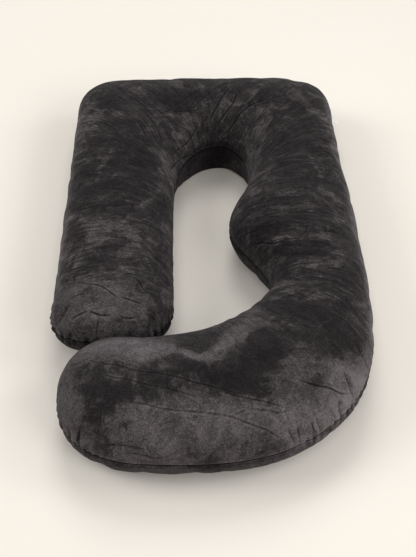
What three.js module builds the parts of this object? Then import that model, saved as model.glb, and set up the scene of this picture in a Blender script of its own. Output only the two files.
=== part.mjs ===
import * as THREE from 'three';

// A G-shaped body pillow, lying flat on its underside, in millimetres.
// X runs across the pillow, Y along it from the foot lobe to the head bar, Z up from the floor.
// The origin is on the floor, at the centre of the pillow's outline.
// An upper and a lower velvet panel are sewn edge to edge and stuffed, so the pillow is one
// filled form: crowned on top, drawn in to its seam all round, and pressed flat where it lies.

const seamHeight = 88; // height of the seam between the two panels above the floor
const outerFoot = 98; // how far in from the outer seam the lower panel meets the floor
const fullness = 2.2; // 2 is an elliptical crown, more is plumper near the seam
const stationsPerRow = 3; // cross-sections made for each row of the table below
const crownSteps = 16; // facets over the top of a cross-section
const footSteps = 4; // facets of a rounded lower edge
const soleSteps = 3; // facets across the flat underside

// The pillow is a row of cross-sections, each from a point on its outer seam to a point on its
// inner seam. They start at the near end of the left arm, run up it, along the head bar, down
// the right side past the belly bump, and round the near right corner into the foot lobe.
// crown is the height over the floor, and innerFoot is outerFoot's counterpart inside the G.
const sections = [
  { place: 'left arm, near', outer: [-402, -215], inner: [-98, -215], crown: 188, innerFoot: 80 },
  { place: 'left arm, middle', outer: [-401, 44], inner: [-104, 24], crown: 194, innerFoot: 78 },
  { place: 'left arm, far', outer: [-400, 284], inner: [-106, 184], crown: 196, innerFoot: 62 },
  { place: 'left shoulder', outer: [-399, 494], inner: [-103, 259], crown: 199, innerFoot: 46 },
  { place: 'head corner left, side', outer: [-393, 634], inner: [-92, 319], crown: 200, innerFoot: 34 },
  { place: 'head corner left, tip', outer: [-362, 694], inner: [-76, 363], crown: 199, innerFoot: 28 },
  { place: 'head corner left, end', outer: [-300, 709], inner: [-56, 394], crown: 197, innerFoot: 26 },
  { place: 'head bar, left', outer: [-150, 712], inner: [-28, 424], crown: 194, innerFoot: 25 },
  { place: 'head bar, middle', outer: [10, 712], inner: [8, 440], crown: 193, innerFoot: 25 },
  { place: 'head bar, right', outer: [150, 712], inner: [42, 437], crown: 194, innerFoot: 25 },
  { place: 'head corner right, end', outer: [262, 707], inner: [70, 412], crown: 197, innerFoot: 26 },
  { place: 'head corner right, tip', outer: [324, 684], inner: [90, 378], crown: 199, innerFoot: 28 },
  { place: 'head corner right, side', outer: [351, 638], inner: [103, 329], crown: 200, innerFoot: 34 },
  { place: 'right shoulder', outer: [361, 504], inner: [105, 269], crown: 199, innerFoot: 46 },
  { place: 'bump, far flank', outer: [371, 324], inner: [92, 207], crown: 201, innerFoot: 66 },
  { place: 'bump, far', outer: [384, 184], inner: [61, 140], crown: 206, innerFoot: 84 },
  { place: 'bump, tip', outer: [390, 89], inner: [48, 82], crown: 208, innerFoot: 92 },
  { place: 'bump, near', outer: [394, 4], inner: [60, 22], crown: 208, innerFoot: 90 },
  { place: 'bump, near flank', outer: [399, -86], inner: [102, -44], crown: 205, innerFoot: 78 },
  { place: 'neck, far', outer: [401, -186], inner: [145, -118], crown: 203, innerFoot: 60 },
  { place: 'neck', outer: [400, -296], inner: [151, -172], crown: 204, innerFoot: 54 },
  { place: 'neck, near', outer: [392, -381], inner: [127, -212], crown: 207, innerFoot: 60 },
  { place: 'near corner, side', outer: [368, -466], inner: [95, -248], crown: 211, innerFoot: 70 },
  { place: 'near corner, tip', outer: [322, -548], inner: [56, -281], crown: 214, innerFoot: 80 },
  { place: 'near corner, end', outer: [250, -622], inner: [12, -310], crown: 216, innerFoot: 86 },
  { place: 'foot lobe, right', outer: [160, -676], inner: [-36, -333], crown: 217, innerFoot: 88 },
  { place: 'foot lobe, widest', outer: [55, -704], inner: [-84, -347], crown: 216, innerFoot: 88 },
  { place: 'foot lobe, middle', outer: [-60, -713], inner: [-132, -353], crown: 214, innerFoot: 88 },
  { place: 'foot lobe, left', outer: [-175, -709], inner: [-175, -355], crown: 210, innerFoot: 88 },
];

// A rounded end carries the first or last section on to its tip, reach away. Squareness 2 is a
// half ellipse in plan, and more is squarer.
const armEnd = { reach: [-12, -124], squareness: 2.8, steps: 6 };
const lobeEnd = { reach: [-191, 20], squareness: 2.25, steps: 8 };

// The care label is a folded satin tape, caught in the seam on the pillow's right side.
const label = { width: 36, reach: 22, thickness: 1.2, centreY: 576, droop: 9, gap: 0.3, steps: 5 };

const outerSeam = seamCurve('outer');
const innerSeam = seamCurve('inner');

function seamCurve(side) {
  const points = sections.map((row) => new THREE.Vector3(...row[side], seamHeight));
  return new THREE.CatmullRomCurve3(points, false, 'centripetal');
}

// A value from the table, carried smoothly from row to row.
function between(column, along) {
  const row = Math.min(Math.floor(along), sections.length - 2);
  const share = THREE.MathUtils.smoothstep(along - row, 0, 1);
  return THREE.MathUtils.lerp(sections[row][column], sections[row + 1][column], share);
}

// How far out a point of a cross-section lies, from 0 over the pillow's middle to 1 on its
// seam. across is the share of the section's own half width. In a rounded end, width is that
// half width as a share of the full one, and forward the section's share of the way to the tip.
function outwardness(across, { forward, width, squareness }) {
  const sum = Math.pow(Math.abs(across) * width, squareness) + Math.pow(forward, squareness);
  return Math.min(1, Math.pow(sum, 1 / squareness));
}

// The distance in plan from such a point to the nearest seam.
function seamDistance(across, fullHalfWidth, end) {
  const outward = Math.max(outwardness(across, end), 1e-6);
  const steepness = end.squareness - 1;
  const sideways = Math.pow((Math.abs(across) * end.width) / outward, steepness) / fullHalfWidth;
  const endways = Math.pow(end.forward / outward, steepness) / end.length;
  return (1 - outward) / Math.hypot(sideways, endways);
}

// One closed loop of points round the pillow: over the crown from the outer to the inner
// seam, and back along the underside.
function sectionLoop({ outer, inner, crown, innerFoot }, end) {
  const loop = [];
  const halfWidth = outer.distanceTo(inner) / 2;
  const addPoint = (across, z) => {
    const point = new THREE.Vector3().lerpVectors(inner, outer, (across + 1) / 2);
    loop.push(point.setZ(z));
  };
  const addTop = (across) => {
    const rise = 1 - Math.pow(outwardness(across, end), fullness);
    addPoint(across, seamHeight + (crown - seamHeight) * Math.pow(rise, 1 / fullness));
  };
  const addUnder = (across) => {
    const foot = across > 0 ? outerFoot : innerFoot;
    const inwards = Math.min(1, seamDistance(across, halfWidth / end.width, end) / foot);
    addPoint(across, seamHeight * (1 - Math.sqrt(inwards * (2 - inwards))));
  };
  for (let i = 0; i <= crownSteps; i++) {
    const turn = Math.cos((Math.PI * i) / crownSteps);
    addTop(Math.sign(turn) * Math.pow(Math.abs(turn), 2 / fullness));
  }
  const innerReach = Math.min(innerFoot / halfWidth, 0.8);
  const outerReach = Math.min(outerFoot / halfWidth, 0.8);
  for (let i = 1; i <= footSteps; i++) {
    addUnder(-1 + innerReach * (1 - Math.cos((Math.PI / 2) * (i / footSteps))));
  }
  for (let i = 1; i < soleSteps; i++) {
    addUnder(THREE.MathUtils.lerp(-1 + innerReach, 1 - outerReach, i / soleSteps));
  }
  for (let i = footSteps; i >= 1; i--) {
    addUnder(1 - outerReach * (1 - Math.cos((Math.PI / 2) * (i / footSteps))));
  }
  return loop;
}

// The loops along the table's rows.
function bodyLoops() {
  const loops = [];
  const last = (sections.length - 1) * stationsPerRow;
  for (let i = 0; i <= last; i++) {
    const section = {
      outer: outerSeam.getPoint(i / last),
      inner: innerSeam.getPoint(i / last),
      crown: between('crown', i / stationsPerRow),
      innerFoot: between('innerFoot', i / stationsPerRow),
    };
    loops.push(sectionLoop(section, { forward: 0, width: 1, squareness: 2, length: 1 }));
  }
  return loops;
}

// The loops of a rounded end, going out from a row of the table, and its tip.
function endLoops(row, { reach, squareness, steps }) {
  const outer = new THREE.Vector3(...row.outer, seamHeight);
  const inner = new THREE.Vector3(...row.inner, seamHeight);
  const middle = new THREE.Vector3().lerpVectors(outer, inner, 0.5);
  const toTip = new THREE.Vector3(...reach, 0);
  const loops = [];
  for (let i = 1; i < steps; i++) {
    const angle = (Math.PI / 2) * (i / steps);
    const forward = Math.pow(Math.sin(angle), 2 / squareness);
    const width = Math.pow(Math.cos(angle), 2 / squareness);
    const centre = middle.clone().addScaledVector(toTip, forward);
    const section = {
      ...row,
      outer: outer.clone().sub(middle).multiplyScalar(width).add(centre),
      inner: inner.clone().sub(middle).multiplyScalar(width).add(centre),
    };
    loops.push(sectionLoop(section, { forward, width, squareness, length: toTip.length() }));
  }
  return { loops, tip: middle.add(toTip) };
}

function pillowGeometry() {
  const arm = endLoops(sections[0], armEnd);
  const lobe = endLoops(sections.at(-1), lobeEnd);
  const loops = [...arm.loops.reverse(), ...bodyLoops(), ...lobe.loops];
  const around = loops[0].length;
  const positions = loops.flat().flatMap((point) => point.toArray());
  const armTip = positions.length / 3;
  positions.push(...arm.tip.toArray());
  const lobeTip = armTip + 1;
  positions.push(...lobe.tip.toArray());
  const faces = [];
  for (let i = 0; i < around; i++) {
    const next = (i + 1) % around;
    for (let j = 0; j < loops.length - 1; j++) {
      const [a, b] = [j * around + i, j * around + next];
      const [c, d] = [a + around, b + around];
      faces.push(a, b, c, b, d, c);
    }
    const lastLoop = (loops.length - 1) * around;
    faces.push(armTip, next, i);
    faces.push(lobeTip, lastLoop + i, lastLoop + next);
  }
  return closedGeometry(positions, faces);
}

// The tape leaves the seam level and droops to its free edge, following the seam's own line.
function labelGeometry() {
  const positions = [];
  const faces = [];
  for (let i = 0; i <= label.steps; i++) {
    const out = i / label.steps;
    const sag = label.droop * out * out;
    for (const [alongSeam, up] of [[-0.5, -0.5], [0.5, -0.5], [0.5, 0.5], [-0.5, 0.5]]) {
      const y = label.centreY + alongSeam * label.width;
      const x = outerSeamX(y) + label.gap + out * label.reach;
      positions.push(x, y, seamHeight - sag + up * label.thickness);
    }
  }
  for (let i = 0; i < label.steps; i++) {
    for (let side = 0; side < 4; side++) {
      const a = i * 4 + side;
      const b = i * 4 + ((side + 1) % 4);
      faces.push(a, b, a + 4, b, b + 4, a + 4);
    }
  }
  const end = label.steps * 4;
  faces.push(0, 2, 1, 0, 3, 2, end, end + 1, end + 2, end, end + 2, end + 3);
  return closedGeometry(positions, faces);
}

// Where the pillow's right side lies at a given Y, on the straight facets between stations.
function outerSeamX(y) {
  const last = (sections.length - 1) * stationsPerRow;
  for (let i = 0; i < last; i++) {
    const [a, b] = [outerSeam.getPoint(i / last), outerSeam.getPoint((i + 1) / last)];
    if (a.x > 0 && a.y >= y && b.y <= y) {
      return THREE.MathUtils.mapLinear(y, a.y, b.y, a.x, b.x);
    }
  }
  throw new Error('the label lies off the right side');
}

function closedGeometry(positions, faces) {
  const geometry = new THREE.BufferGeometry();
  geometry.setAttribute('position', new THREE.Float32BufferAttribute(positions, 3));
  geometry.setIndex(faces);
  geometry.computeVertexNormals();
  return geometry;
}

function part(name, geometry, material) {
  const mesh = new THREE.Mesh(geometry, material);
  mesh.name = name;
  return mesh;
}

const velvet = new THREE.MeshStandardMaterial({ color: 0x3f3c3d, roughness: 0.85, metalness: 0 });
const satin = new THREE.MeshStandardMaterial({ color: 0xf2f1ec, roughness: 0.5, metalness: 0 });

const bodyPillow = new THREE.Group();
bodyPillow.add(part('pillow', pillowGeometry(), velvet));
bodyPillow.add(part('care_label', labelGeometry(), satin));

export default bodyPillow;
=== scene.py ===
import math

import bpy
import numpy as np
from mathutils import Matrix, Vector, noise
from mathutils.bvhtree import BVHTree
from mathutils.kdtree import KDTree


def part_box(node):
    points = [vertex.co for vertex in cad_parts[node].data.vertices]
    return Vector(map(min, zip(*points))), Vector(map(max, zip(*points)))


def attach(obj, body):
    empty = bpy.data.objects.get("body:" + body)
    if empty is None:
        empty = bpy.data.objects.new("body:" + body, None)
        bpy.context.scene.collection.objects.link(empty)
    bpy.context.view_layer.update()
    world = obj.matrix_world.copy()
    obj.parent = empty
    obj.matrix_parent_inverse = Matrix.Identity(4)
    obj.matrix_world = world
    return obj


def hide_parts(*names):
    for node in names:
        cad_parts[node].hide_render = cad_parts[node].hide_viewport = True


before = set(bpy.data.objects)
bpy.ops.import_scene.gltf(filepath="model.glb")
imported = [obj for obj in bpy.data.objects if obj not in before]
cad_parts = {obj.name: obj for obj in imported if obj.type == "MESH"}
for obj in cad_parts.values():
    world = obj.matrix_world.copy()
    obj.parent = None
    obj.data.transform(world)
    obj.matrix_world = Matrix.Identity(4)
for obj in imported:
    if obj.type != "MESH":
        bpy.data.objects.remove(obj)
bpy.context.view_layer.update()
scene = bpy.context.scene
mm = 0.001  # the tables are in millimetres, Blender is in metres
print("frame loaded")


# Small helpers

def smooth(low, high, value):
    share = np.clip((value - low) / (high - low), 0, 1)
    return share * share * (3 - 2 * share)


def throughPoints(points, at):
    # centripetal Catmull-Rom; at counts the points, so 1.5 is halfway from the second to the third
    points = np.array(points, float)
    padded = np.vstack([2 * points[0] - points[1], points, 2 * points[-1] - points[-2]])
    first = np.clip(at.astype(int), 0, len(points) - 2)
    share = (at - first)[:, None]
    a, b, c, d = (padded[first + k] for k in range(4))
    before, middle, after = (
        np.linalg.norm(q - p, axis=1, keepdims=True) ** 0.5 for p, q in ((a, b), (b, c), (c, d)))
    leaving = ((b - a) / before - (c - a) / (before + middle)) * middle + (c - b)
    arriving = ((d - c) / after - (d - b) / (middle + after)) * middle + (c - b)
    bend = 3 * (c - b) - 2 * leaving - arriving
    return b + leaving * share + bend * share ** 2 + (2 * (b - c) + leaving + arriving) * share ** 3


def travelled(points):
    # distance from the first point to each, along them
    return np.concatenate([[0], np.cumsum(np.linalg.norm(np.diff(points, axis=0), axis=1))])


def meshPoints(mesh, normals=False):
    values = np.zeros(len(mesh.vertices) * 3, np.float32)
    if normals:
        mesh.vertex_normals.foreach_get("vector", values)
    else:
        mesh.vertices.foreach_get("co", values)
    return values.reshape(-1, 3).astype(float)


def setPoints(mesh, points):
    mesh.vertices.foreach_set("co", points.astype(np.float32).ravel())
    mesh.update()


def setAttribute(mesh, name, values):
    # one number or one vector for each point
    kind, field = ("FLOAT", "value") if values.ndim == 1 else ("FLOAT_VECTOR", "vector")
    attribute = mesh.attributes.new(name, kind, "POINT")
    attribute.data.foreach_set(field, values.astype(np.float32).ravel())


def attributeOf(mesh, name):
    values = np.zeros(len(mesh.vertices), np.float32)
    mesh.attributes[name].data.foreach_get("value", values)
    return values.astype(float)


def addObject(name, data):
    made = bpy.data.objects.new(name, data)
    scene.collection.objects.link(made)
    return made


def bakeModifiers(piece):
    # the evaluated piece becomes its own plain mesh
    evaluated = piece.evaluated_get(bpy.context.evaluated_depsgraph_get())
    plain = bpy.data.meshes.new_from_object(evaluated)
    piece.modifiers.clear()
    piece.data = plain


def shadeSmooth(mesh):
    mesh.polygons.foreach_set("use_smooth", [True] * len(mesh.polygons))


# The pillow is a row of cross-sections, from the near end of the left arm round to the foot lobe.
# Each row is its place, its points on the outer and the inner seam, its crown's height, and how
# far in from the inner seam the lower panel meets the floor.

sections = [
    ("left arm, near", (-402, -215), (-98, -215), 188, 80),
    ("left arm, middle", (-401, 44), (-104, 24), 194, 78),
    ("left arm, far", (-400, 284), (-106, 184), 196, 62),
    ("left shoulder", (-399, 494), (-103, 259), 199, 46),
    ("head corner left, side", (-393, 634), (-92, 319), 200, 34),
    ("head corner left, tip", (-360, 690), (-76, 363), 197, 18),
    ("head corner left, end", (-300, 709), (-56, 394), 195, 13),
    ("head bar, left", (-150, 712), (-28, 424), 194, 10),
    ("head bar, middle", (10, 712), (8, 440), 193, 9),
    ("head bar, right", (150, 712), (42, 437), 194, 10),
    ("head corner right, end", (262, 707), (70, 412), 197, 13),
    ("head corner right, tip", (324, 684), (90, 378), 199, 18),
    ("head corner right, side", (351, 638), (103, 329), 200, 34),
    ("right shoulder", (361, 504), (105, 269), 199, 46),
    ("bump, far flank", (371, 324), (92, 207), 201, 66),
    ("bump, far", (384, 184), (61, 140), 206, 84),
    ("bump, tip", (390, 89), (48, 82), 208, 92),
    ("bump, near", (394, 4), (60, 22), 208, 90),
    ("bump, near flank", (399, -86), (102, -44), 205, 78),
    ("neck, far", (401, -186), (145, -118), 203, 60),
    ("neck", (400, -296), (151, -172), 204, 54),
    ("neck, near", (392, -381), (127, -212), 207, 60),
    ("near corner, side", (368, -466), (95, -248), 211, 70),
    ("near corner, tip", (322, -548), (56, -281), 214, 80),
    ("near corner, end", (250, -622), (12, -310), 216, 86),
    ("foot lobe, right", (160, -676), (-36, -333), 217, 88),
    ("foot lobe, widest", (55, -704), (-84, -347), 216, 88),
    ("foot lobe, middle", (-60, -713), (-132, -353), 214, 88),
    ("foot lobe, left", (-175, -709), (-175, -355), 210, 88),
]

pillowForm = {
    "seamHeight": 88,
    "outerFoot": 98,  # how far in from the outer seam the lower panel meets the floor
    "fullness": 2.2,  # 2 is an elliptical crown, more is plumper near the seam
    "armEnd": {"reach": (-12, -124), "squareness": 2.8, "fullness": 2.9},
    "lobeEnd": {"reach": (-191, 20), "squareness": 2.25, "fullness": 2.3},
    "acrossSteps": 36,  # quads over a cross-section and as many under it, before subdivision
    "seamTurns": (0.016, 0.042),  # and two more beside the seam, as angles from it
    "stationStep": 14.2,  # between cross-sections, along the longer seam
    "cornerStep": 8.5,  # the same round the near right corner, where the cover gathers
    "cornerRows": (20.5, 26.0),  # that corner, in rows of the table
}


def stationRows():
    # where the cross-sections go, counted in rows of the table
    fine = np.linspace(0, len(sections) - 1, 4000)
    outer = throughPoints([row[1] for row in sections], fine)
    inner = throughPoints([row[2] for row in sections], fine)
    strides = np.maximum(np.diff(travelled(outer)), np.diff(travelled(inner)))
    first, last = pillowForm["cornerRows"]
    corner = smooth(first - 1, first + 1, fine[1:]) * (1 - smooth(last - 1, last + 1, fine[1:]))
    step = pillowForm["stationStep"] + (pillowForm["cornerStep"] - pillowForm["stationStep"]) * corner
    passed = np.concatenate([[0], np.cumsum(strides / step)])
    return np.interp(np.linspace(0, passed[-1], round(passed[-1]) + 1), passed, fine)


def betweenRows(column, at):
    values = np.array([row[column] for row in sections], float)
    first = np.clip(at.astype(int), 0, len(sections) - 2)
    return values[first] + (values[first + 1] - values[first]) * smooth(0, 1, at - first)


def bodyRows(across):
    # plan points, outwardness (0 at the middle, 1 on the seam) and distance from the seam
    at = stationRows()
    outer = throughPoints([row[1] for row in sections], at)
    inner = throughPoints([row[2] for row in sections], at)
    share = (across[None, :, None] + 1) / 2
    plan = inner[:, None] + (outer - inner)[:, None] * share
    halfWidth = np.linalg.norm(outer - inner, axis=1)[:, None] / 2
    outward = np.abs(across)[None, :] + 0 * halfWidth
    crown, foot = (betweenRows(column, at)[:, None] + 0 * outward for column in (3, 4))
    return plan, outward, (1 - outward) * halfWidth, crown, foot, pillowForm["fullness"] + 0 * outward


def endRows(row, end, across):
    # a rounded end: rows that turn from the last straight section into the seam's own curve
    ahead = np.abs(across[len(across) // 2 + 1:])[:, None]
    discX = across[None, :] * np.sqrt(1 - ahead ** 2 / 2)
    discY = ahead * np.sqrt(1 - across[None, :] ** 2 / 2)
    q = end["squareness"]
    radius = np.hypot(discX, discY)
    scale = radius / (np.abs(discX) ** q + discY ** q) ** (1 / q)
    sideways, forward = discX * scale, discY * scale
    outer, inner = (np.array(point, float) for point in row[1:3])
    middle, half = (outer + inner) / 2, (outer - inner) / 2
    plan = middle + sideways[..., None] * half + forward[..., None] * np.array(end["reach"], float)
    steepness = np.hypot(
        (np.abs(sideways) / radius) ** (q - 1) / np.linalg.norm(half),
        (forward / radius) ** (q - 1) / np.linalg.norm(end["reach"]))
    full = pillowForm["fullness"] + (end["fullness"] - pillowForm["fullness"]) * smooth(0, 0.6, forward)
    return plan, radius, (1 - radius) / steepness, row[3] + 0 * radius, row[4] + 0 * radius, full


def pillowRows():
    # the whole pillow's rows from the arm's tip to the lobe's: top points, underside points
    beside = np.array(pillowForm["seamTurns"])
    even = np.linspace(0, math.pi, pillowForm["acrossSteps"] + 1)
    turn = np.cos(np.sort(np.concatenate([even, beside, math.pi - beside])))
    across = np.sign(turn) * np.abs(turn) ** (2 / pillowForm["fullness"])
    arm = [part[::-1] for part in endRows(sections[0], pillowForm["armEnd"], across)]
    body = bodyRows(across)
    lobe = endRows(sections[-1], pillowForm["lobeEnd"], across)
    plan, outward, seamAway, crown, foot, full = (
        np.concatenate(parts) for parts in zip(arm, body, lobe))
    seam = pillowForm["seamHeight"]
    outward = np.clip(outward, 0, 1)
    topHeight = seam + (crown - seam) * (1 - outward ** full) ** (1 / full)
    foot = foot + (pillowForm["outerFoot"] - foot) * smooth(-0.3, 0.3, across)[None, :]
    inwards = np.clip(seamAway / foot, 0, 1)
    underHeight = seam * (1 - np.sqrt(inwards * (2 - inwards)))
    top = np.dstack([plan, topHeight]) * mm
    under = np.dstack([plan, underHeight]) * mm
    return top, under


def pillowMesh():
    top, under = pillowRows()
    rows, columns = top.shape[:2]
    topIndex = np.arange(rows * columns).reshape(rows, columns)
    onSeam = np.zeros((rows, columns), bool)
    onSeam[[0, -1], :] = True
    onSeam[:, [0, -1]] = True
    underIndex = topIndex.copy()
    underIndex[~onSeam] = rows * columns + np.arange((~onSeam).sum())
    points = np.vstack([top.reshape(-1, 3), under[~onSeam]])
    corners = []
    for index, order in ((topIndex, -1), (underIndex, 1)):
        quad = np.stack([index[:-1, :-1], index[1:, :-1], index[1:, 1:], index[:-1, 1:]], axis=-1)
        corners.append(quad.reshape(-1, 4)[:, ::order])
    mesh = bpy.data.meshes.new("pillow")
    mesh.from_pydata(points.tolist(), [], np.vstack(corners).tolist())
    # the cover's own map, in metres: along the pillow, and round it from the outer seam
    along = travelled(top[:, columns // 2])
    sample = rows // 3  # a plain row of the left arm
    across = [travelled(top[sample]), 1 + travelled(under[sample])]  # the lower panel lies 1 m away
    uv = mesh.uv_layers.new(name="cover")
    flat = []
    for panel, order in ((0, -1), (1, 1)):
        u, v = np.meshgrid(along, across[panel], indexing="ij")
        cell = np.stack([u, v], axis=-1)
        quad = np.stack([cell[:-1, :-1], cell[1:, :-1], cell[1:, 1:], cell[:-1, 1:]], axis=-2)
        flat.append(quad.reshape(-1, 4, 2)[:, ::order])
    uv.data.foreach_set("uv", np.vstack(flat).astype(np.float32).ravel())
    seamMark = np.zeros(len(points))
    seamMark[topIndex[onSeam]] = 1
    setAttribute(mesh, "seamMark", seamMark)
    upper = np.zeros(len(points))
    upper[:rows * columns] = 1
    upper[topIndex[onSeam]] = 0.5
    setAttribute(mesh, "upper", upper)
    mesh.update()
    # the seam's own line, once round the pillow
    loop = np.concatenate([topIndex[:, 0], topIndex[-1, 1:], topIndex[-2::-1, -1], topIndex[0, -2:0:-1]])
    return mesh, points[loop]


pillowMeshData, seamCorners = pillowMesh()
pillow = addObject("pillow_cover", pillowMeshData)
print("pillow form:", len(pillow.data.vertices), "points before subdivision")


# The filling presses the cover out. The seam and the part that lies on the floor are held.

fillingRun = {
    "frames": 20,
    "quality": 5,
    "pressure": 2.0,
    "pointMass": 0.3,
    "startInset": 4,  # mm that the cover starts inside its form
    "looseness": 0.035,  # spare cloth, as a share of its length
    "stiffness": 70,
    "bending": 0.4,
    "heldAtSeam": 8,  # mm over and under it
    "heldBelow": 2,  # mm over the floor
    "wrinkleReach": 13,  # rounds of averaging that tell a wrinkle from the swelling
    "wrinkleShare": 0.75,
    "mostMove": 3.6,  # mm that a wrinkle may move a point
}


def averaged(mesh, values, rounds):
    # the values of each point's neighbours, averaged over and over
    edges = np.zeros(len(mesh.edges) * 2, np.int32)
    mesh.edges.foreach_get("vertices", edges)
    first, second = edges.reshape(-1, 2).T
    count = np.bincount(edges, minlength=len(values))[:, None]
    for _ in range(rounds):
        around = [
            np.bincount(first, column[second], len(values))
            + np.bincount(second, column[first], len(values))
            for column in values.T
        ]
        values = 0.4 * values + 0.6 * np.column_stack(around) / count
    return values


def swellCover():
    mesh = pillow.data
    form = meshPoints(mesh)
    besideSeam = np.abs(form[:, 2] / mm - pillowForm["seamHeight"]) < fillingRun["heldAtSeam"]
    held = np.maximum(besideSeam, form[:, 2] < fillingRun["heldBelow"] * mm).astype(float)
    normals = meshPoints(mesh, normals=True)
    start = form - normals * (fillingRun["startInset"] * mm * (1 - held))[:, None]
    setPoints(mesh, start)
    pins = pillow.vertex_groups.new(name="held")
    pins.add(np.flatnonzero(held > 0.5).tolist(), 1.0, "REPLACE")
    cloth = pillow.modifiers.new("filling", "CLOTH")
    cloth.settings.quality = fillingRun["quality"]
    cloth.settings.mass = fillingRun["pointMass"]
    cloth.settings.tension_stiffness = fillingRun["stiffness"]
    cloth.settings.compression_stiffness = fillingRun["stiffness"]
    cloth.settings.shear_stiffness = fillingRun["stiffness"] / 2
    cloth.settings.bending_stiffness = fillingRun["bending"]
    cloth.settings.use_pressure = True
    cloth.settings.uniform_pressure_force = fillingRun["pressure"]
    cloth.settings.shrink_min = -fillingRun["looseness"]
    cloth.settings.effector_weights.gravity = 0
    cloth.settings.vertex_group_mass = "held"
    cloth.collision_settings.use_collision = False
    cloth.point_cache.frame_start = 1
    cloth.point_cache.frame_end = fillingRun["frames"]
    for step in range(1, fillingRun["frames"] + 1):
        scene.frame_set(step)
    evaluated = pillow.evaluated_get(bpy.context.evaluated_depsgraph_get())
    moved = meshPoints(evaluated.data) - start
    pillow.modifiers.remove(cloth)
    scene.frame_set(1)
    # the wrinkles are kept, and the swelling itself is left to the form
    wrinkles = (moved - averaged(mesh, moved, fillingRun["wrinkleReach"])) * fillingRun["wrinkleShare"]
    most = fillingRun["mostMove"] * mm
    length = np.maximum(np.linalg.norm(wrinkles, axis=1), 1e-9)
    wrinkles *= (most * np.tanh(length / most) / length)[:, None]
    setPoints(mesh, form + wrinkles)
    usual, largest = (round(float(value / mm), 1) for value in (length.mean(), length.max()))
    print("cover's wrinkles:", usual, "mm as a rule and at most", largest, "before the limit")


swellCover()

subdivision = pillow.modifiers.new("finer", "SUBSURF")
subdivision.levels = subdivision.render_levels = 1
bakeModifiers(pillow)
pillow.data.name = "pillow_cover"
shadeSmooth(pillow.data)
print("pillow subdivided:", len(pillow.data.polygons) * 2, "triangles")


# The seam, and the folds that the cover keeps. They are worked into the finished mesh.

seamLook = {
    "pinchDepth": 4.6,  # mm
    "pinchWidth": 4.2,
    "lipHeight": 0.9,  # the turned allowance under the cover, beside the seam
    "lipAway": 8.0,
    "lipWidth": 3.2,
    "pleatGap": (11, 26),  # mm from one gather to the next
    "pleatDepth": (1.2, 3.4),
    "pleatWidth": (3.6, 6.0),
    "pleatReach": (16, 46),
    "seed": 7,
}

# Where the seam gathers the cover: place, x, y, radius, how strongly.
seamBends = [
    ("arm's end, outer corner", -385, -290, 120, 1.7),
    ("arm's end", -262, -340, 150, 1.4),
    ("arm's end, inner corner", -120, -300, 110, 1.7),
    ("foot lobe's end", -340, -600, 190, 1.5),
    ("foot lobe's back", -330, -430, 110, 0.7),
    ("near corner", 300, -570, 200, 1.8),
    ("near right", 385, -400, 120, 0.7),
    ("belly bump", 60, 80, 110, 0.8),
    ("head corner left", -370, 640, 150, 0.8),
    ("head corner right", 320, 640, 140, 0.5),
    ("round end", 0, 420, 120, 0.7),
    ("right side", 375, 280, 90, 0.6),
]

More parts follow.
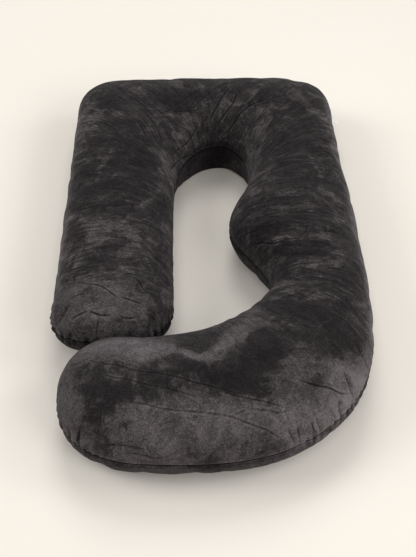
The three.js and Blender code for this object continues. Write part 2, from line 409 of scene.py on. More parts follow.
# The main creases of each part: depth, half width, points over the floor plan. A point with a
# third number lies on the pillow's side, at that height.
creases = [
    ("head bar", [
        (2.2, 5.0, [(-5, 610), (-70, 540), (-120, 490), (-160, 460)]),
        (2.2, 5.0, [(15, 585), (-25, 540), (-60, 490)]),
        (1.6, 5.0, [(75, 630), (25, 600), (-15, 570)]),
        (2.4, 4.6, [(65, 605), (35, 555), (15, 510), (-10, 460)]),
        (2.4, 4.6, [(80, 590), (65, 525), (40, 490), (10, 455)]),
        (2.6, 4.8, [(130, 520), (95, 495), (80, 480), (55, 455), (25, 445)]),
        (1.8, 5.5, [(255, 550), (195, 535), (130, 515), (95, 500)]),
    ]),
    ("round end", [
        (2.2, 5.0, [(-40, 460), (-50, 435), (-70, 400), (-95, 365), (-115, 325)]),
    ]),
    ("left shoulder", [
        (1.8, 5.5, [(-155, 460), (-100, 485), (-60, 490), (-10, 505)]),
        (2.0, 4.5, [(-215, 430), (-195, 385), (-175, 330)]),
        (2.0, 4.5, [(-200, 440), (-175, 395), (-155, 350)]),
        (2.0, 4.5, [(-180, 445), (-155, 405), (-140, 350)]),
        (1.8, 5.0, [(-325, 475), (-290, 510), (-245, 530)]),
    ]),
    ("left arm", [
        (1.8, 5.0, [(-320, 360), (-290, 390), (-245, 410)]),
        (1.6, 5.0, [(-340, 320), (-290, 330), (-230, 335)]),
    ]),
    ("round end", [
        (3.0, 6.0, [(-115, 280), (-90, 340), (-60, 390)]),
    ]),
    ("right shoulder", [
        (2.0, 4.8, [(270, 320), (310, 305), (350, 290)]),
        (2.0, 4.8, [(295, 360), (330, 345), (345, 310)]),
        (1.8, 4.8, [(255, 285), (300, 275), (345, 270)]),
    ]),
    ("bump", [
        (2.0, 5.0, [(105, 20), (135, 15), (170, 20), (215, 15), (260, 15), (310, 5), (355, -10)]),
        (2.4, 5.2, [(105, -35), (130, -50), (160, -70), (195, -75), (220, -80)]),
        (1.8, 5.0, [(60, 35), (90, 40), (115, 55), (145, 80)]),
        (1.8, 4.6, [(80, 0), (95, -5), (130, -20)]),
        (2.0, 4.6, [(220, -80), (240, -55), (245, -30)]),
    ]),
    ("neck", [
        (2.0, 5.0, [(195, -165), (225, -165), (265, -170)]),
    ]),
    ("right side", [
        (1.8, 4.8, [(315, 85), (340, 70), (360, 45)]),
        (1.8, 4.8, [(280, -50), (325, -45), (355, -50)]),
        (1.8, 4.8, [(275, -190), (310, -190), (345, -195)]),
    ]),
    ("left arm", [
        (1.6, 5.5, [(-360, 70), (-335, 65), (-285, 65)]),
        (1.6, 5.5, [(-260, 50), (-240, 60), (-205, 60)]),
        (2.0, 5.5, [(-235, 15), (-210, 0), (-175, 0), (-145, -10)]),
        (2.0, 5.5, [(-370, -155), (-345, -160), (-315, -165), (-285, -170)]),
        (2.4, 5.0, [(-340, -205), (-305, -225), (-270, -240), (-245, -260), (-225, -280)]),
    ]),
    ("arm's end", [
        (2.6, 5.0, [(-225, -190), (-195, -190), (-160, -195), (-140, -205), (-115, -205)]),
        (2.4, 5.0, [(-200, -195), (-180, -215), (-165, -240), (-145, -250)]),
        (2.4, 4.8, [(-350, -270), (-330, -260), (-305, -260)]),
        (2.0, 4.6, [(-225, -270), (-195, -280), (-170, -285)]),
        (2.6, 4.8, [(-345, -315), (-320, -310), (-305, -305)]),
        (2.6, 4.8, [(-300, -305), (-270, -315), (-245, -315)]),
        (2.4, 4.8, [(-230, -315), (-205, -320), (-185, -315)]),
        (3.0, 5.0, [(-375, -305, 119), (-360, -295), (-345, -275)]),
        (3.0, 5.0, [(-285, -335, 113), (-280, -330), (-275, -315)]),
    ]),
    ("foot lobe", [
        (2.2, 5.0, [(-315, -465), (-260, -500), (-215, -515), (-170, -535), (-120, -545), (-85, -555),
            (-45, -570), (5, -585), (85, -605)]),
        (1.6, 4.8, [(-260, -535), (-225, -550), (-175, -565), (-130, -580), (-75, -595), (-20, -615)]),
        (1.7, 4.8, [(-205, -615), (-160, -620), (-105, -635), (-45, -640), (5, -645), (50, -650)]),
        (2.4, 4.8, [(-255, -680, 128), (-205, -690, 138), (-165, -700, 136), (-140, -700, 132)]),
        (2.2, 4.8, [(-185, -700, 124), (-160, -705, 121), (-125, -710, 115), (-90, -705, 123)]),
        (4.5, 4.6, [(-308, -655, 92), (-302, -650, 122), (-295, -640, 145)]),
    ]),
    ("near bend", [
        (1.6, 4.8, [(5, -590), (60, -605), (95, -610), (140, -615), (175, -620)]),
        (2.0, 4.8, [(15, -645), (45, -650), (65, -655), (95, -660), (130, -665), (165, -670)]),
        (1.8, 4.8, [(50, -645), (70, -635), (75, -630)]),
        (1.6, 4.8, [(85, -630), (115, -630), (150, -630), (175, -620)]),
    ]),
    ("near corner", [
        (2.6, 5.5, [(195, -550), (230, -555), (275, -550), (295, -550), (330, -530)]),
        (6.0, 5.5, [(305, -500, 172), (313, -515, 152), (322, -528, 130), (330, -532, 108),
            (326, -540, 90)]),
        (4.4, 6.0, [(292, -560, 138), (295, -575, 122), (300, -575, 98)]),
        (3.8, 5.6, [(232, -610, 138), (240, -620, 121), (250, -620, 96)]),
        (3.6, 5.6, [(222, -622, 140), (230, -632, 120), (237, -638, 98)]),
        (3.4, 5.6, [(190, -640, 142), (195, -650, 129), (200, -655, 97)]),
        (3.2, 5.6, [(170, -648, 146), (175, -655, 134), (190, -660, 96)]),
    ]),
    ("near right", [
        (2.2, 4.8, [(335, -415), (355, -440), (370, -445)]),
    ]),
]

# Soft raised folds, in the same columns. They catch the light, and the material paints a highlight along
# their crests too.
ridges = [
    ("arm's end", [
        (4.0, 6.5, [(-160, -290, 151), (-145, -295, 135), (-135, -305, 108)]),
    ]),
    ("right shoulder", [
        (1.6, 5.0, [(175, 235), (215, 235), (250, 235)]),
    ]),
    ("neck", [
        (1.8, 5.0, [(200, -215), (220, -210), (250, -220), (285, -230), (335, -245)]),
        (1.8, 4.6, [(155, -255), (180, -260), (200, -285), (225, -305)]),
    ]),
    ("near bend", [
        (1.4, 4.6, [(275, -430), (290, -445), (305, -460)]),
        (1.4, 4.6, [(205, -385), (230, -395), (255, -400)]),
    ]),
]

foldMarks = ("foldA", "foldB", "foldC")  # the attributes that tell the material where folds run

softness = {
    "lumpSize": 130,  # mm, the filling's lumps
    "lumpHeight": 2.6,
    "dimpleSize": 42,
    "dimpleHeight": 0.7,
}


def closedLine(corners, step):
    # even points along the closed line through the corners, and how far along it each lies
    ring = np.vstack([corners, corners[:1]])
    passed = travelled(ring)
    places = np.linspace(0, passed[-1], round(passed[-1] / step) + 1)[:-1]
    line = np.column_stack([np.interp(places, passed, ring[:, axis]) for axis in range(3)])
    return line, places, passed[-1]


def nearestOn(line, points):
    tree = KDTree(len(line))
    for index, point in enumerate(line):
        tree.insert(point, index)
    tree.balance()
    found = [tree.find(point) for point in points]
    return np.array([hit[1] for hit in found]), np.array([hit[2] for hit in found])


def gatherSeam(points, normals, free):
    # the seam draws the cover in, and short pleats run up and down from it where it bends
    line, places, around = closedLine(seamCorners, 2 * mm)
    nearest, away = nearestOn(line, points)
    place = places[nearest]
    pull = seamLook["pinchDepth"] * mm * np.exp(-(away / (seamLook["pinchWidth"] * mm)) ** 2)
    lip = np.exp(-((away / mm - seamLook["lipAway"]) / seamLook["lipWidth"]) ** 2)
    pull -= seamLook["lipHeight"] * mm * lip
    strength = np.zeros(len(line))
    for _, x, y, radius, share in seamBends:
        reach = np.hypot(line[:, 0] - x * mm, line[:, 1] - y * mm) / (radius * mm)
        strength = np.maximum(strength, share * (1 - smooth(0.35, 1.0, reach)))
    rng = np.random.default_rng(seamLook["seed"])
    near = np.flatnonzero(away < seamLook["pleatReach"][1] * 1.5 * mm)
    at = 0.0
    pleat = np.zeros(len(points))
    count = 0
    while at < around:
        at += rng.uniform(*seamLook["pleatGap"]) * mm
        share = np.interp(at, places, strength)
        depth = rng.uniform(*seamLook["pleatDepth"]) * mm * share
        width, length = (rng.uniform(*seamLook[key]) * mm for key in ("pleatWidth", "pleatReach"))
        slant, upperShare = rng.uniform(-0.35, 0.35), rng.uniform(0.5, 1.0)
        if share < 0.05:
            continue
        beside = (place[near] - at + around / 2) % around - around / 2 - slant * away[near]
        fade = smooth(0, 6 * mm, away[near] + 3 * mm) * (1 - smooth(0.25 * length, length, away[near]))
        side = np.where(points[near, 2] > pillowForm["seamHeight"] * mm, upperShare, 1.5 - upperShare)
        fold = np.exp(-(beside / width) ** 2)
        fold -= 0.45 * np.exp(-((np.abs(beside) - 2 * width) / width) ** 2)
        pleat[near] += depth * fade * side * fold
        count += 1
    print("seam:", round(around, 2), "m round,", count, "gathers")
    points = points - normals * ((pull + pleat) * np.maximum(free, 0.2))[:, None]
    return points, away, pleat


def layLine(tree, points):
    # a smooth line on the cover through the points of a fold, and the cover's normals along it
    corners = []
    for point in points:
        if len(point) == 2:
            hit = tree.ray_cast(Vector((point[0] * mm, point[1] * mm, 1.0)), Vector((0, 0, -1)))[0]
        else:
            hit = tree.find_nearest(Vector(point) * mm)[0]
        corners.append(hit)
    dense = throughPoints(corners, np.linspace(0, len(corners) - 1, 24 * (len(corners) - 1) + 1))
    hits = [tree.find_nearest(Vector(point)) for point in dense]
    return np.array([hit[0] for hit in hits]), np.array([hit[1] for hit in hits])


def workFolds(tree, points, table, profile, marks, sign):
    # How far each fold moves the points in or out along the cover's normal. The marks keep, for the
    # material, how far to one side of a fold each point lies (mm) and how strong the fold is there.
    # Folds that run close together go in different marks.
    moved = np.zeros(len(points))
    for depth, width, corners in (fold for _, folds in table for fold in folds):
        line, normals = layLine(tree, corners)
        margin = 4 * width * mm
        low, high = line.min(axis=0) - margin, line.max(axis=0) + margin
        near = np.flatnonzero(np.all((points > low) & (points < high), axis=1))
        gaps = np.linalg.norm(points[near, None] - line[None], axis=2)
        nearest = gaps.argmin(axis=1)
        away = gaps[np.arange(len(near)), nearest] / mm
        along = nearest / (len(line) - 1)
        taper = 0.75 * smooth(0, 0.22, along) * smooth(0, 0.3, 1 - along)
        taper += 0.25 * smooth(0, 0.06, np.minimum(along, 1 - along))
        moved[near] += depth * mm * taper * profile(away / width)
        sideways = np.cross(normals, np.gradient(line, axis=0))[nearest]
        side = np.sign(np.sum(sideways * (points[near] - line[nearest]), axis=1))
        share = min(depth / 3, 1) if len(corners[0]) == 2 else 0.4  # those on the side are soft
        strength = taper * share * (1 - smooth(8, 13, away))
        mark = min(marks, key=lambda each: np.sum(np.abs(each[near, 1]) * (strength > 0)))
        stronger = strength >= np.abs(mark[near, 1])
        mark[near[stronger], 0] = (side * away)[stronger]
        mark[near[stronger], 1] = sign * strength[stronger]
    return moved


def troughProfile(away):
    return -np.exp(-away ** 2) + 0.38 * np.exp(-((away - 2.1) / 0.9) ** 2)


def ridgeProfile(away):
    return np.exp(-away ** 2) - 0.25 * np.exp(-((away - 2.0) / 0.9) ** 2)


def lumps(points, size):
    return np.array([noise.noise(Vector(point) / (size * mm)) for point in points])


def finishCover():
    mesh = pillow.data
    points = meshPoints(mesh)
    free = smooth(1 * mm, 9 * mm, points[:, 2])  # the part on the floor stays flat
    normals = meshPoints(mesh, normals=True)
    lumpy = softness["lumpHeight"] * lumps(points, softness["lumpSize"])
    lumpy += softness["dimpleHeight"] * lumps(points + 0.37, softness["dimpleSize"])
    settled = smooth(0, 40 * mm, nearestOn(closedLine(seamCorners, 4 * mm)[0], points)[1])
    points = points + normals * (lumpy * mm * free * settled)[:, None]
    points, away, pleat = gatherSeam(points, normals, free)
    setPoints(mesh, points)
    normals = meshPoints(mesh, normals=True)
    tree = BVHTree.FromPolygons([tuple(p) for p in points], [tuple(p.vertices) for p in mesh.polygons])
    marks = [np.tile((30.0, 0.0, 0.0), (len(points), 1)) for _ in foldMarks]
    troughs = workFolds(tree, points, creases, troughProfile, marks, 1)
    raised = workFolds(tree, points, ridges, ridgeProfile, marks, -1)
    points = points + normals * ((troughs + raised) * free)[:, None]
    points[:, 2] = np.maximum(points[:, 2], 0.2 * mm)
    setPoints(mesh, points)
    # painted shade in the creases' troughs and the gathers' pleats, and a painted highlight on the
    # pleats' raised sides, for the material
    depth = np.clip(-troughs / (3 * mm), 0, 1) + np.clip(pleat / (2 * mm), -0.8, 1.3)
    setAttribute(mesh, "fold", depth)
    # the pile's tone with painted sheen and shade in it, less the painted shade of the wall under the
    # head bar, plus the painted sheen of the outer sides
    setAttribute(mesh, "napAndPaintedLight", napAndPaintedLightField(points) - paintedWallShade(points, away) + paintedSideSheen(points, away))
    setAttribute(mesh, "brush", brushField(points))
    setAttribute(mesh, "seamAway", np.sign(attributeOf(mesh, "upper") - 0.5) * away / mm)
    for name, mark in zip(foldMarks, marks):
        setAttribute(mesh, name, mark)
    print("folds worked in:", sum(len(folds) for _, folds in creases + ridges))


# The pile lies this way and that, and its patches hold painted sheen and painted shade as well as
# the pile's own tone. Each patch of each part: x, y, half length, half width, turn in degrees, and
# how light (or, below 0, how dark) it looks.
napAndPaintedLightPatches = {
    "foot lobe": [
        (-80, -570, 330, 150, 0, 0.12),
        (-60, -670, 300, 62, 2, 0.65),
        (-215, -440, 110, 45, -8, 1.0),
        (-110, -475, 95, 30, -8, 0.45),
        (-15, -480, 80, 26, 20, 0.5),
        (50, -420, 80, 28, 45, 0.6),
        (-30, -365, 90, 22, 8, 0.25),
        (-330, -590, 34, 90, 20, 0.6),
        (-185, -610, 90, 34, -8, 0.1),
        (-215, -455, 150, 60, -5, 0.75),
        (60, -560, 140, 60, -5, -0.75),
        (-190, -595, 60, 35, 0, -0.35),
        (-40, -515, 90, 22, -6, -0.3),
        (-235, -615, 50, 45, -10, -0.35),
    ],
    "near corner": [
        (250, -560, 170, 110, 30, 0.5),
        (305, -545, 46, 85, -35, 0.85),
        (225, -640, 85, 40, 25, 0.5),
        (220, -620, 90, 55, 20, 0.35),
        (264, -628, 46, 8, 122, 0.8),
        (306, -592, 40, 7, 135, 0.7),
        (222, -655, 52, 7, 112, 0.6),
        (335, -545, 40, 8, 150, 0.7),
        (180, -672, 44, 7, 106, 0.5),
        (244, -640, 50, 7, 117, -0.6),
        (287, -612, 44, 7, 128, -0.7),
        (322, -568, 40, 7, 142, -0.6),
    ],
    "arm's end": [
        (-250, -270, 160, 100, 0, 0.2),
        (-250, -318, 160, 32, 0, 0.6),
    ],
    "left arm": [
        (-250, -80, 150, 150, 0, -0.15),
        (-270, 260, 170, 230, 0, -0.45),
        (-270, -20, 75, 55, 10, 0.45),
        (-240, -180, 70, 45, 0, -0.15),
        (-185, -120, 40, 60, 20, 0.4),
        (-300, 135, 85, 40, 5, -0.5),
        (-200, 260, 60, 90, 10, -0.3),
    ],
    "head bar": [
        (-20, 620, 440, 120, 0, -0.25),
        (110, 460, 60, 40, 20, 0.25),
        (180, 535, 60, 45, 0, -0.3),
        (-85, 540, 90, 50, 15, -0.65),
    ],
    "right side": [
        (270, 150, 150, 460, 0, -0.3),
        (195, 105, 55, 30, 5, 0.4),
        (185, 20, 50, 30, 15, 0.5),
        (240, -70, 60, 26, -10, 0.5),
        (260, -160, 60, 24, -8, 0.5),
    ],
    "neck": [
        (250, -260, 160, 120, 0, -0.25),
        (190, -235, 60, 26, -20, 0.45),
        (210, -340, 85, 45, -20, -0.55),
    ],
    "left shoulder": [
        (-345, 450, 35, 80, 15, 0.35),
        (-355, 325, 25, 80, 5, 0.35),
    ],
    "round end": [
        (-135, 230, 26, 90, 8, 0.4),
        (125, 390, 40, 40, 30, 0.2),
    ],
    "head corner right": [
        (300, 560, 60, 60, 0, -0.15),
    ],
    "near bend": [
        (50, -560, 110, 26, -10, -0.4),
        (120, -475, 70, 50, 30, -0.7),
    ],
    "bump": [
        (225, -105, 70, 24, -5, -0.4),
        (295, -140, 50, 26, -5, -0.4),
        (140, -30, 45, 45, 0, -0.55),
    ],
    "right shoulder": [
        (230, 330, 90, 60, 0, -0.4),
    ],
    "near right": [
        (290, -400, 60, 60, 0, -0.35),
    ],
}


# Painted shade on the wall under the head bar, at the round end of the hole
wallShade = {
    "middle": (6, 345),  # mm, the round end's
    "reach": (115, 150),
    "beyond": (360, 410),  # where it starts, along the pillow
    "fromSeam": (6, 26),
    "dark": 1.1,
}


def napAndPaintedLightField(points):
    field = np.zeros(len(points))
    wander = np.column_stack([lumps(points + shift, 60) for shift in (0.0, 5.1)]) * 26 * mm
    for x, y, halfLength, halfWidth, turn, light in sum(napAndPaintedLightPatches.values(), []):
        dx = points[:, 0] - x * mm + wander[:, 0]
        dy = points[:, 1] - y * mm + wander[:, 1]
        c, s = math.cos(math.radians(turn)), math.sin(math.radians(turn))
        far = np.hypot((dx * c + dy * s) / (halfLength * mm), (dy * c - dx * s) / (halfWidth * mm))
        field += light * (1 - smooth(0.3, 1.35, far))
    return np.clip(field, -1.4, 1.4) * smooth(20 * mm, 60 * mm, points[:, 2])


def paintedSideSheen(points, away):
    # painted sheen on the two long outer sides, where the pile stands up and catches the light
    x, y = points[:, 0] / mm, points[:, 1] / mm
    share = smooth(240, 320, x) + 0.55 * (1 - smooth(-370, -300, x)) * smooth(-330, -250, y)
    upper = points[:, 2] > pillowForm["seamHeight"] * mm
    return 1.3 * share * (1 - smooth(20, 90, away / mm)) * upper


def brushField(points):
    # how much the strokes round the pillow show: most at the long sides, least on the two ends
    x, y = points[:, 0] / mm, points[:, 1] / mm
    field = 0.25 + 0.75 * smooth(-470, -330, y)
    field += 0.3 * smooth(270, 350, np.abs(x)) * smooth(-330, -180, y)
    return field * (1 - 0.65 * (1 - smooth(-240, -140, y)) * (x < 0))


def paintedWallShade(points, away):
    # painted shade on the side under the head bar, which turns from the light
    fromMiddle = np.hypot(*(points[:, axis] / mm - wallShade["middle"][axis] for axis in (0, 1)))
    near = 1 - smooth(*wallShade["reach"], fromMiddle)
    near = near * smooth(*wallShade["beyond"], points[:, 1] / mm)
    return wallShade["dark"] * near * (1 - smooth(*wallShade["fromSeam"], away / mm))


finishCover()
print("cover finished")


# Node trees. A Wire is the value of one socket, so that sums on it add Math nodes.

class Wire:
    def __init__(self, nodes, socket):
        self.nodes, self.socket = nodes, socket

    def output(self, name):
        # another output of the node that this one comes from
        return Wire(self.nodes, self.socket.node.outputs[name])

    def maths(self, operation, first, second):
        return self.nodes.node("ShaderNodeMath", {"operation": operation}, {0: first, 1: second})

    def __add__(self, other):
        return self.maths("ADD", self, other)

    def __radd__(self, other):
        return self.maths("ADD", other, self)

    def __sub__(self, other):
        return self.maths("SUBTRACT", self, other)

    def __rsub__(self, other):
        return self.maths("SUBTRACT", other, self)

    def __mul__(self, other):
        return self.maths("MULTIPLY", self, other)

    def __rmul__(self, other):
        return self.maths("MULTIPLY", other, self)

    def __abs__(self):
        return self.maths("ABSOLUTE", self, 0.0)


class Nodes:
    def __init__(self, tree):
        self.tree = tree

    def node(self, kind, settings, inputs, output=0):
        # the settings come first, because some of them change which sockets the node has
        made = self.tree.nodes.new(kind)
        for name, value in settings.items():
            if name == "stops":
                setStops(made.color_ramp.elements, value)
            else:
                setattr(made, name, value)
        for name, value in inputs.items():
            if isinstance(value, Wire):
                self.tree.links.new(value.socket, made.inputs[name])
            else:
                made.inputs[name].default_value = value
        return Wire(self, made.outputs[output]) if made.outputs else None


def setStops(ramp, stops):
    # a new ramp has two stops already
    for index, (place, color) in enumerate(stops):
        stop = ramp[index] if index < 2 else ramp.new(place)
        stop.position = place
        stop.color = (*color, 1)


# Lockstitches show at the bottom of the seam. Geometry Nodes lay them along its line.

stitchLook = {
    "pitch": 5.0,  # mm from one to the next
    "length": 3.4,
    "thickness": 0.42,
    "slant": 8,  # degrees
    "sink": 0.1,  # mm into the seam
    "seed": 3,
}


def stitchTree():
    tree = bpy.data.node_groups.new("seamStitches", "GeometryNodeTree")
    sizes = {name: "Float" for name in ("Pitch", "Length", "Thickness", "Slant")}
    for name, kind in {"Line": "Geometry", **sizes, "Seed": "Int", "Thread": "Material"}.items():
        tree.interface.new_socket(name, in_out="INPUT", socket_type="NodeSocket" + kind)
    tree.interface.new_socket("Stitches", in_out="OUTPUT", socket_type="NodeSocketGeometry")
    nodes = Nodes(tree)
    given = nodes.node("NodeGroupInput", {}, {})
    even = nodes.node(
        "GeometryNodeResampleCurve", {"mode": "LENGTH"},
        {"Curve": given.output("Line"), "Length": given.output("Pitch")})
    jitter = nodes.node(
        "FunctionNodeRandomValue", {"data_type": "FLOAT"},
        {"Min": -0.5, "Max": 0.5, "Seed": given.output("Seed")}, "Value")
    tangent = nodes.node("GeometryNodeInputTangent", {}, {})
    aligned = nodes.node("FunctionNodeAlignRotationToVector", {"axis": "X"}, {"Vector": tangent})
    turn = nodes.node(
        "FunctionNodeAxisAngleToRotation", {},
        {"Axis": (0, 0, 1), "Angle": given.output("Slant") * jitter})
    tilted = nodes.node(
        "FunctionNodeRotateRotation", {"rotation_space": "LOCAL"},
        {"Rotation": aligned, "Rotate By": turn})
    bead = nodes.node("GeometryNodeMeshIcoSphere", {}, {"Radius": 0.5, "Subdivisions": 1})
    thickness = given.output("Thickness")
    size = nodes.node(
        "ShaderNodeCombineXYZ", {}, {"X": given.output("Length"), "Y": thickness, "Z": thickness})
    placed = nodes.node(
        "GeometryNodeInstanceOnPoints", {},
        {"Points": even, "Instance": bead, "Rotation": tilted, "Scale": size})
    real = nodes.node("GeometryNodeRealizeInstances", {}, {"Geometry": placed})
    painted = nodes.node(
        "GeometryNodeSetMaterial", {}, {"Geometry": real, "Material": given.output("Thread")})
    nodes.node("NodeGroupOutput", {}, {"Stitches": painted})
    return tree


def seamFloor():
    # the bottom of the seam, from the finished cover's own points, in order round the pillow
    points = meshPoints(pillow.data)
    normals = meshPoints(pillow.data, normals=True)
    marked = np.flatnonzero(attributeOf(pillow.data, "seamMark") > 0.98)
    line, places = closedLine(seamCorners, 2 * mm)[:2]
    order = marked[np.argsort(places[nearestOn(line, points[marked])[0]])]
    return points[order] - normals[order] * stitchLook["sink"] * mm


def makeStitches(thread):
    floorLine = seamFloor()
    curve = bpy.data.curves.new("seamLine", "CURVE")
    curve.dimensions = "3D"
    spline = curve.splines.new("POLY")
    spline.points.add(len(floorLine) - 1)
    spline.points.foreach_set("co", np.column_stack([floorLine, np.ones(len(floorLine))]).ravel())
    spline.use_cyclic_u = True
    stitches = addObject("seam_stitches", curve)
    modifier = stitches.modifiers.new("stitches", "NODES")
    modifier.node_group = stitchTree()
    values = {
        "Pitch": stitchLook["pitch"] * mm,
        "Length": stitchLook["length"] * mm,
        "Thickness": stitchLook["thickness"] * mm,
        "Slant": math.radians(stitchLook["slant"]),
        "Seed": stitchLook["seed"],
        "Thread": thread,
    }
    for socket in modifier.node_group.interface.items_tree:
        if socket.in_out == "INPUT" and socket.name in values:
            modifier[socket.identifier] = values[socket.name]
    evaluated = stitches.evaluated_get(bpy.context.evaluated_depsgraph_get())
    plain = bpy.data.meshes.new_from_object(evaluated)
    bpy.data.objects.remove(stitches)
    made = addObject("seam_stitches", plain)
    shadeSmooth(plain)
    print("stitches:", len(plain.polygons), "faces")
    return made


# The care label: a satin tape folded in two, its cut ends caught in the seam.

labelLook = {
    "thickness": 0.3,  # mm, each layer
    "layerGap": 0.5,
    "intoSeam": 5.4,  # down to the bottom of the seam
    "inset": 0.6,  # from the top and the bottom of its CAD box
    "wave": 0.6,
    "curl": 1.2,
    "seamSlant": 0.043,  # the seam's own, in plan
    "foldSteps": 8,
    "stepsOut": 22,
    "stepsAlong": 28,
}


def makeLabel():
    low, high = (np.array(corner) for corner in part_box("care_label"))
    start = low[0] - labelLook["intoSeam"] * mm
    width = high[1] - low[1]
    middleY = (low[1] + high[1]) / 2
    seamZ = high[2] - labelLook["inset"] * mm
    droop = high[2] - low[2] - 2 * labelLook["inset"] * mm
    half = labelLook["layerGap"] * mm / 2
    outwards = np.linspace(0, 1, labelLook["stepsOut"] + 1)
    # out along the upper layer, round the fold, and back along the lower one
    profile = [(out, half, 0.0) for out in outwards]
    for step in range(1, labelLook["foldSteps"]):
        angle = math.pi / 2 - math.pi * step / labelLook["foldSteps"]
        profile.append((1.0, half * math.sin(angle), half * math.cos(angle)))
    profile += [(out, -half, 0.0) for out in outwards[::-1]]
    points = []
    for out, up, beyond in profile:
        for along in np.linspace(-0.5, 0.5, labelLook["stepsAlong"] + 1):
            wave = labelLook["wave"] * mm * out * math.sin(7.0 * along + 0.8)
            curl = labelLook["curl"] * mm * out * out * (2 * along) ** 2
            x = start + out * (high[0] - start - half) + beyond
            x += labelLook["seamSlant"] * along * width
            z = seamZ - droop * out * out + up + wave + curl
            points.append((x, middleY + along * width, z))
    columns = labelLook["stepsAlong"] + 1
    faces = []
    for i in range(len(profile) - 1):
        for j in range(columns - 1):
            a = i * columns + j
            faces.append((a, a + columns, a + columns + 1, a + 1))
    mesh = bpy.data.meshes.new("care_label_tape")
    mesh.from_pydata(points, [], faces)
    uv = mesh.uv_layers.new(name="tape")
    length = travelled(np.array(points).reshape(-1, columns, 3)[:, columns // 2])
    for loop in mesh.loops:
        row, column = divmod(loop.vertex_index, columns)
        uv.data[loop.index].uv = (length[row], column / labelLook["stepsAlong"] * width)
    made = addObject("care_label_tape", mesh)
    solid = made.modifiers.new("cloth", "SOLIDIFY")
    solid.thickness = labelLook["thickness"] * mm
    solid.offset = 0
    bakeModifiers(made)
    shadeSmooth(made.data)
    return made, (width, float(length[-1]))


# Materials

class Paint(Nodes):
    def __init__(self, name):
        self.material = bpy.data.materials.new(name)
        self.material.use_nodes = True
        super().__init__(self.material.node_tree)
        self.tree.nodes.clear()

    def ramp(self, value, stops):
        return self.node("ShaderNodeValToRGB", {"stops": stops}, {0: value})

    def between(self, value, low, high, newLow=0.0, newHigh=1.0):
        return self.node(
            "ShaderNodeMapRange", {"interpolation_type": "SMOOTHSTEP"},
            {"Value": value, "From Min": low, "From Max": high, "To Min": newLow, "To Max": newHigh})

    def stretched(self, vector, scale):
        return self.node("ShaderNodeVectorMath", {"operation": "MULTIPLY"}, {0: vector, 1: scale})

    def cloud(self, vector, scale, detail=3.0, roughness=0.55, distortion=0.0):
        return self.node(
            "ShaderNodeTexNoise", {"noise_dimensions": "3D"},
            {"Vector": vector, "Scale": scale, "Detail": detail, "Roughness": roughness,
             "Distortion": distortion})

    def attribute(self, name, output="Fac"):
        return self.node("ShaderNodeAttribute", {"attribute_name": name}, {}, output)

    def place(self):
        return self.node("ShaderNodeTexCoord", {}, {}, "Object")

    def finish(self, color, roughness, height, bumpDistance, constants):
        bump = self.node(
            "ShaderNodeBump", {}, {"Height": height, "Distance": bumpDistance, "Strength": 1.0})
        values = {"Base Color": color, "Roughness": roughness, "Normal": bump}
        shader = self.node("ShaderNodeBsdfPrincipled", {}, {**values, **constants})
        self.node("ShaderNodeOutputMaterial", {}, {"Surface": shader})
        return self.material


velvetLook = {
    "black": (0.005, 0.0042, 0.0044),
    "dark": (0.0155, 0.0132, 0.0136),
    "middle": (0.035, 0.0302, 0.031),
    "light": (0.075, 0.066, 0.068),
    "bright": (0.15, 0.135, 0.14),
    "broadScale": 6.0,  # of the noises, to a metre
    "patchScale": 12.0,
    "blotchScale": 30.0,
    "tickScale": 17.0,
    "grainScale": 270.0,
    "threadScale": (46.0, 5.0, 1.0),  # along the pillow and round it
    "strokeScale": (60.0, 9.0, 1.0),
    "fineStrokeScale": (200.0, 24.0, 1.0),
    "creaseWidth": 2.3,  # mm
    "bumpDistance": 0.003,
    "sheen": 0.12,
    "sheenRoughness": 0.4,
    "sheenTint": (0.5, 0.46, 0.49),
}


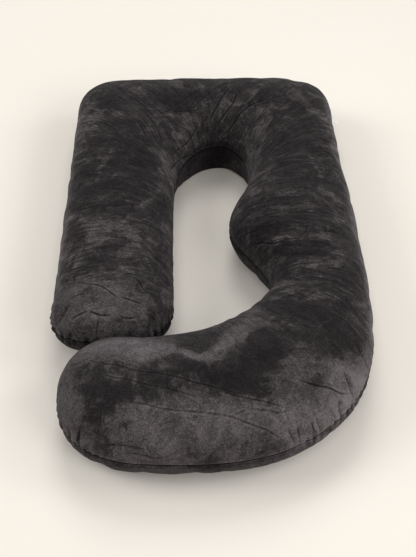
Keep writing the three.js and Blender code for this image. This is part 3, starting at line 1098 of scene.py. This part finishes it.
def velvetMaterial():
    paint = Paint("crushedVelvet")
    place = paint.place()
    cover = paint.node("ShaderNodeUVMap", {"uv_map": "cover"}, {})
    napAndPaintedLight = paint.attribute("napAndPaintedLight")
    fold = paint.attribute("fold")
    brush = paint.attribute("brush")
    seam = paint.attribute("seamAway")
    crease = rim = 0.0
    # each fold mark paints light and shade: painted shade along a crease's trough and a painted
    # highlight on its edges; a raised fold gets the reverse, a painted highlight on its crest and
    # painted shade beside it
    for name in foldMarks:
        mark = paint.attribute(name, "Vector")
        away = abs(paint.node("ShaderNodeSeparateXYZ", {}, {0: mark}, "X"))
        depth = paint.node("ShaderNodeSeparateXYZ", {}, {0: mark}, "Y")
        crease = crease + (1.0 - paint.between(away, 0.2, velvetLook["creaseWidth"])) * depth
        rim = rim + paint.between(away, 2.0, 4.0) * (1.0 - paint.between(away, 4.5, 9.0)) * depth
    # painted shadow along the seam's groove
    seamLine = 1.0 - paint.between(abs(seam + 0.6), 0.5, 2.8)
    # painted highlight on the lip of turned allowance above the seam
    lip = paint.between(seam, 2.4, 4.2) * (1.0 - paint.between(seam, 5.5, 9.5))
    # painted shade on the lower panel under the seam
    under = (1.0 - paint.between(seam, -6.0, 0.0)) * paint.between(seam, -110.0, -30.0)
    broad = paint.cloud(place, velvetLook["broadScale"], 4.0, 0.6, 0.8)
    patches = paint.cloud(place, velvetLook["patchScale"], 6.0, 0.62, 1.4)
    blotches = paint.between(
        paint.cloud(place, velvetLook["blotchScale"], 5.0, 0.68, 1.6), 0.38, 0.62)
    # the pile lies one way or the other, in patches with ragged edges
    laid = paint.between(0.3 * napAndPaintedLight + 1.5 * (patches - 0.5) + 0.5 * (broad - 0.5), -0.08, 0.1)
    # it is brushed round the pillow, so its marks are long that way
    along = {name: paint.stretched(cover, velvetLook[name])
             for name in ("strokeScale", "fineStrokeScale", "threadScale")}
    strokes = paint.cloud(along["strokeScale"], 1.0, 6.0, 0.7, 1.2)
    fineStrokes = paint.cloud(along["fineStrokeScale"], 1.0, 4.0, 0.7, 1.0)
    threads = abs(paint.cloud(along["threadScale"], 1.0, 4.0, 0.6, 1.6) - 0.5)
    grain = paint.cloud(place, velvetLook["grainScale"], 2.0, 0.9)
    whereThreads = paint.between(paint.cloud(place, 9.0, 2.0), 0.44, 0.6)
    scratch = (1.0 - paint.between(threads, 0.0, 0.018)) * whereThreads * brush
    # short dark ticks where the pile is crushed across itself
    ticks = abs(paint.cloud(place, velvetLook["tickScale"], 5.0, 0.6, 2.2) - 0.5)
    whereTicks = paint.between(paint.cloud(place, 11.0, 2.0), 0.5, 0.62)
    tick = (1.0 - paint.between(ticks, 0.0, 0.016)) * whereTicks
    crease = crease * paint.between(paint.cloud(place, 50.0, 2.0), 0.3, 0.6, 0.35, 1.0)
    # the tone: the pile's own patches, strokes and grain, with the painted sheen and shade of the nap
    # attribute, painted shade in folds, creases, the seam's groove and under the seam, and painted
    # highlights on crease edges and the lip
    toneAndPaintedLight = 0.36 + 0.17 * napAndPaintedLight + 0.2 * (laid - 0.5) + 0.35 * (broad - 0.5) + 0.14 * (blotches - 0.5)
    toneAndPaintedLight = toneAndPaintedLight + brush * (0.8 * (strokes - 0.5) + 0.75 * (fineStrokes - 0.5)) + 0.95 * (grain - 0.5)
    toneAndPaintedLight = toneAndPaintedLight + 0.28 * scratch - 0.22 * tick - 0.15 * fold - 0.32 * crease + 0.15 * rim
    toneAndPaintedLight = toneAndPaintedLight - 0.4 * seamLine + 0.22 * lip - 0.16 * under
    color = paint.ramp(
        toneAndPaintedLight,
        [(0.02, velvetLook["black"]), (0.26, velvetLook["dark"]), (0.44, velvetLook["middle"]),
         (0.64, velvetLook["light"]), (0.9, velvetLook["bright"])])
    roughness = paint.between(toneAndPaintedLight, 0.2, 0.8, 0.95, 0.8)
    height = 0.5 * strokes + 0.4 * fineStrokes + 0.1 * laid + 0.2 * blotches + 0.5 * grain
    height = height + 0.2 * scratch - 0.25 * tick - 0.36 * crease + 0.1 * rim
    height = height - 0.5 * seamLine + 0.2 * lip
    return paint.finish(color, roughness, height, velvetLook["bumpDistance"], {
        "Sheen Weight": velvetLook["sheen"],
        "Sheen Roughness": velvetLook["sheenRoughness"],
        "Sheen Tint": (*velvetLook["sheenTint"], 1),
        "Specular IOR Level": 0.15,
    })


def threadMaterial():
    paint = Paint("sewingThread")
    place = paint.place()
    twist = paint.cloud(place, 1600.0, 2.0)
    color = paint.ramp(twist, [(0.3, (0.02, 0.018, 0.019)), (0.7, (0.07, 0.065, 0.067))])
    return paint.finish(color, 0.6, twist, 0.0001, {"Specular IOR Level": 0.3})


def tapeMaterial():
    paint = Paint("satinTape")
    cover = paint.node("ShaderNodeUVMap", {"uv_map": "tape"}, {})
    weave = paint.node(
        "ShaderNodeTexWave", {"wave_type": "BANDS", "bands_direction": "Y"},
        {"Vector": cover, "Scale": 700.0, "Distortion": 0.6, "Detail": 1.0}, "Fac")
    cloth = paint.cloud(paint.stretched(cover, (900.0, 120.0, 1.0)), 1.0, 2.0)
    color = paint.ramp(
        0.5 * weave + 0.5 * cloth, [(0.2, (0.66, 0.66, 0.64)), (0.8, (0.86, 0.86, 0.84))])
    roughness = paint.between(cloth, 0.3, 0.7, 0.5, 0.36)
    return paint.finish(color, roughness, weave, 0.0001, {"Sheen Weight": 0.15})


def floorMaterial():
    paint = Paint("paleFloor")
    place = paint.place()
    tone = paint.cloud(place, 0.9, 2.0)
    color = paint.ramp(tone, [(0.3, (0.813, 0.766, 0.697)), (0.7, (0.833, 0.791, 0.727))])
    return paint.finish(color, 0.75, paint.cloud(place, 300.0, 2.0), 0.0001, {"Specular IOR Level": 0.2})


pillow.data.materials.clear()
pillow.data.materials.append(velvetMaterial())
stitches = makeStitches(threadMaterial())
careLabel, labelCut = makeLabel()
careLabel.data.materials.append(tapeMaterial())
print("materials made")


# The floor, the light and the camera of the photograph

stageLook = {
    "floorSize": 20,
    "lampDistance": 8.0,
    "lampSize": 4.0,
    "lampSpread": 75,  # degrees
    "lampColor": (1.0, 0.992, 0.98),
    "skyStrength": 0.38,
}

# A ring of soft boxes: place, degrees round from the far side, degrees up, watts.
lamps = [
    ("far", 0, 50, 43),
    ("right", 90, 34, 33),
    ("nearRight", 135, 30, 44),
    ("near", 180, 62, 14),
    ("left", 270, 36, 45),
]

cameraLook = {
    "place": (-0.010, -2.348, 2.280),
    "pitch": 44.4,  # degrees below level
    "lens": 51.92,
    "sensorHeight": 24,
}


def makeStage():
    size = stageLook["floorSize"] / 2
    mesh = bpy.data.meshes.new("floor")
    corners = [(-size, -size, 0), (size, -size, 0), (size, size, 0), (-size, size, 0)]
    mesh.from_pydata(corners, [], [(0, 1, 2, 3)])
    floor = addObject("floor", mesh)
    mesh.materials.append(floorMaterial())
    world = bpy.data.worlds.new("studio")
    world.use_nodes = True
    world.node_tree.nodes["Background"].inputs["Color"].default_value = (*stageLook["lampColor"], 1)
    world.node_tree.nodes["Background"].inputs["Strength"].default_value = stageLook["skyStrength"]
    scene.world = world
    for name, around, up, power in lamps:
        data = bpy.data.lights.new(name, "AREA")
        data.size = stageLook["lampSize"]
        data.energy = power
        data.color = stageLook["lampColor"]
        data.spread = math.radians(stageLook["lampSpread"])
        lamp = addObject(name, data)
        turn, rise = math.radians(around), math.radians(up)
        level = math.cos(rise)
        toLamp = Vector((math.sin(turn) * level, math.cos(turn) * level, math.sin(rise)))
        lamp.location = toLamp * stageLook["lampDistance"]
        lamp.rotation_euler = (-lamp.location).to_track_quat("-Z", "Y").to_euler()


def makeCamera():
    data = bpy.data.cameras.new("camera")
    data.sensor_fit = "VERTICAL"
    data.sensor_height = cameraLook["sensorHeight"]
    data.lens = cameraLook["lens"]
    camera = addObject("camera", data)
    camera.location = cameraLook["place"]
    camera.rotation_euler = (math.radians(90 - cameraLook["pitch"]), 0, 0)
    scene.camera = camera


makeStage()
makeCamera()
scene.view_settings.view_transform = "Standard"
print("stage, light and camera set")


# What each piece stands for

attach(pillow, "root")
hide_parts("pillow")
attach(stitches, "root")
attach(careLabel, "root")
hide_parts("care_label")
